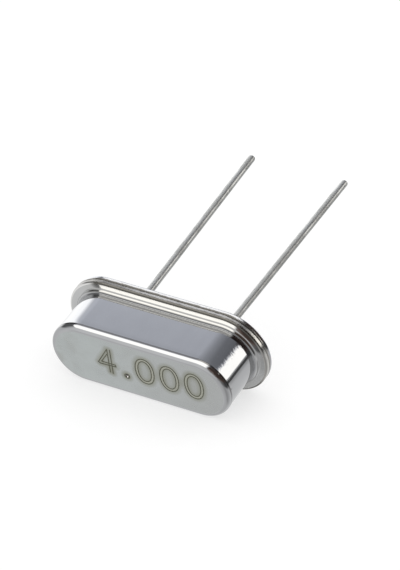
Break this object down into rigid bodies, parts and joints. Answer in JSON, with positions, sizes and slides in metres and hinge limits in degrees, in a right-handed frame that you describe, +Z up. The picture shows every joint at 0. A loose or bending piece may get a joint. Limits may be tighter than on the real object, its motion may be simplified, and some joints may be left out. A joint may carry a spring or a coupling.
{
  "type": "crystal oscillator",
  "caption": "Leaded quartz crystal in a low-profile obround metal can with a welded flange, which sets the frequency of an oscillator circuit.",
  "frame": {"origin": "centre of the bounding box in X and Y, on the flat that the crystal lies on", "axes": "+X along the obround's length, +Y the way the two leads point (they rise by the rest tilt of about 12 degrees), +Z up"},
  "size_m": [0.011, 0.0164, 0.0052],
  "materials": {
    "can_metal": "satin",
    "header_metal": "satin",
    "seal_glass": "gloss",
    "lead_wire": "satin",
    "spring_strip": "satin",
    "quartz": "gloss",
    "silver_film": "satin",
    "silver_adhesive": "matte"
  },
  "bodies": {
    "root": {"can": "can_metal", "header": "header_metal", "glass_seal_left": "seal_glass", "glass_seal_right": "seal_glass", "lead_left": "lead_wire", "lead_right": "lead_wire", "clip_left": "spring_strip", "clip_right": "spring_strip", "quartz_blank": "quartz", "electrode_top": "silver_film", "electrode_bottom": "silver_film", "adhesive_left": "silver_adhesive", "adhesive_right": "silver_adhesive"}
  },
  "joints": []
}
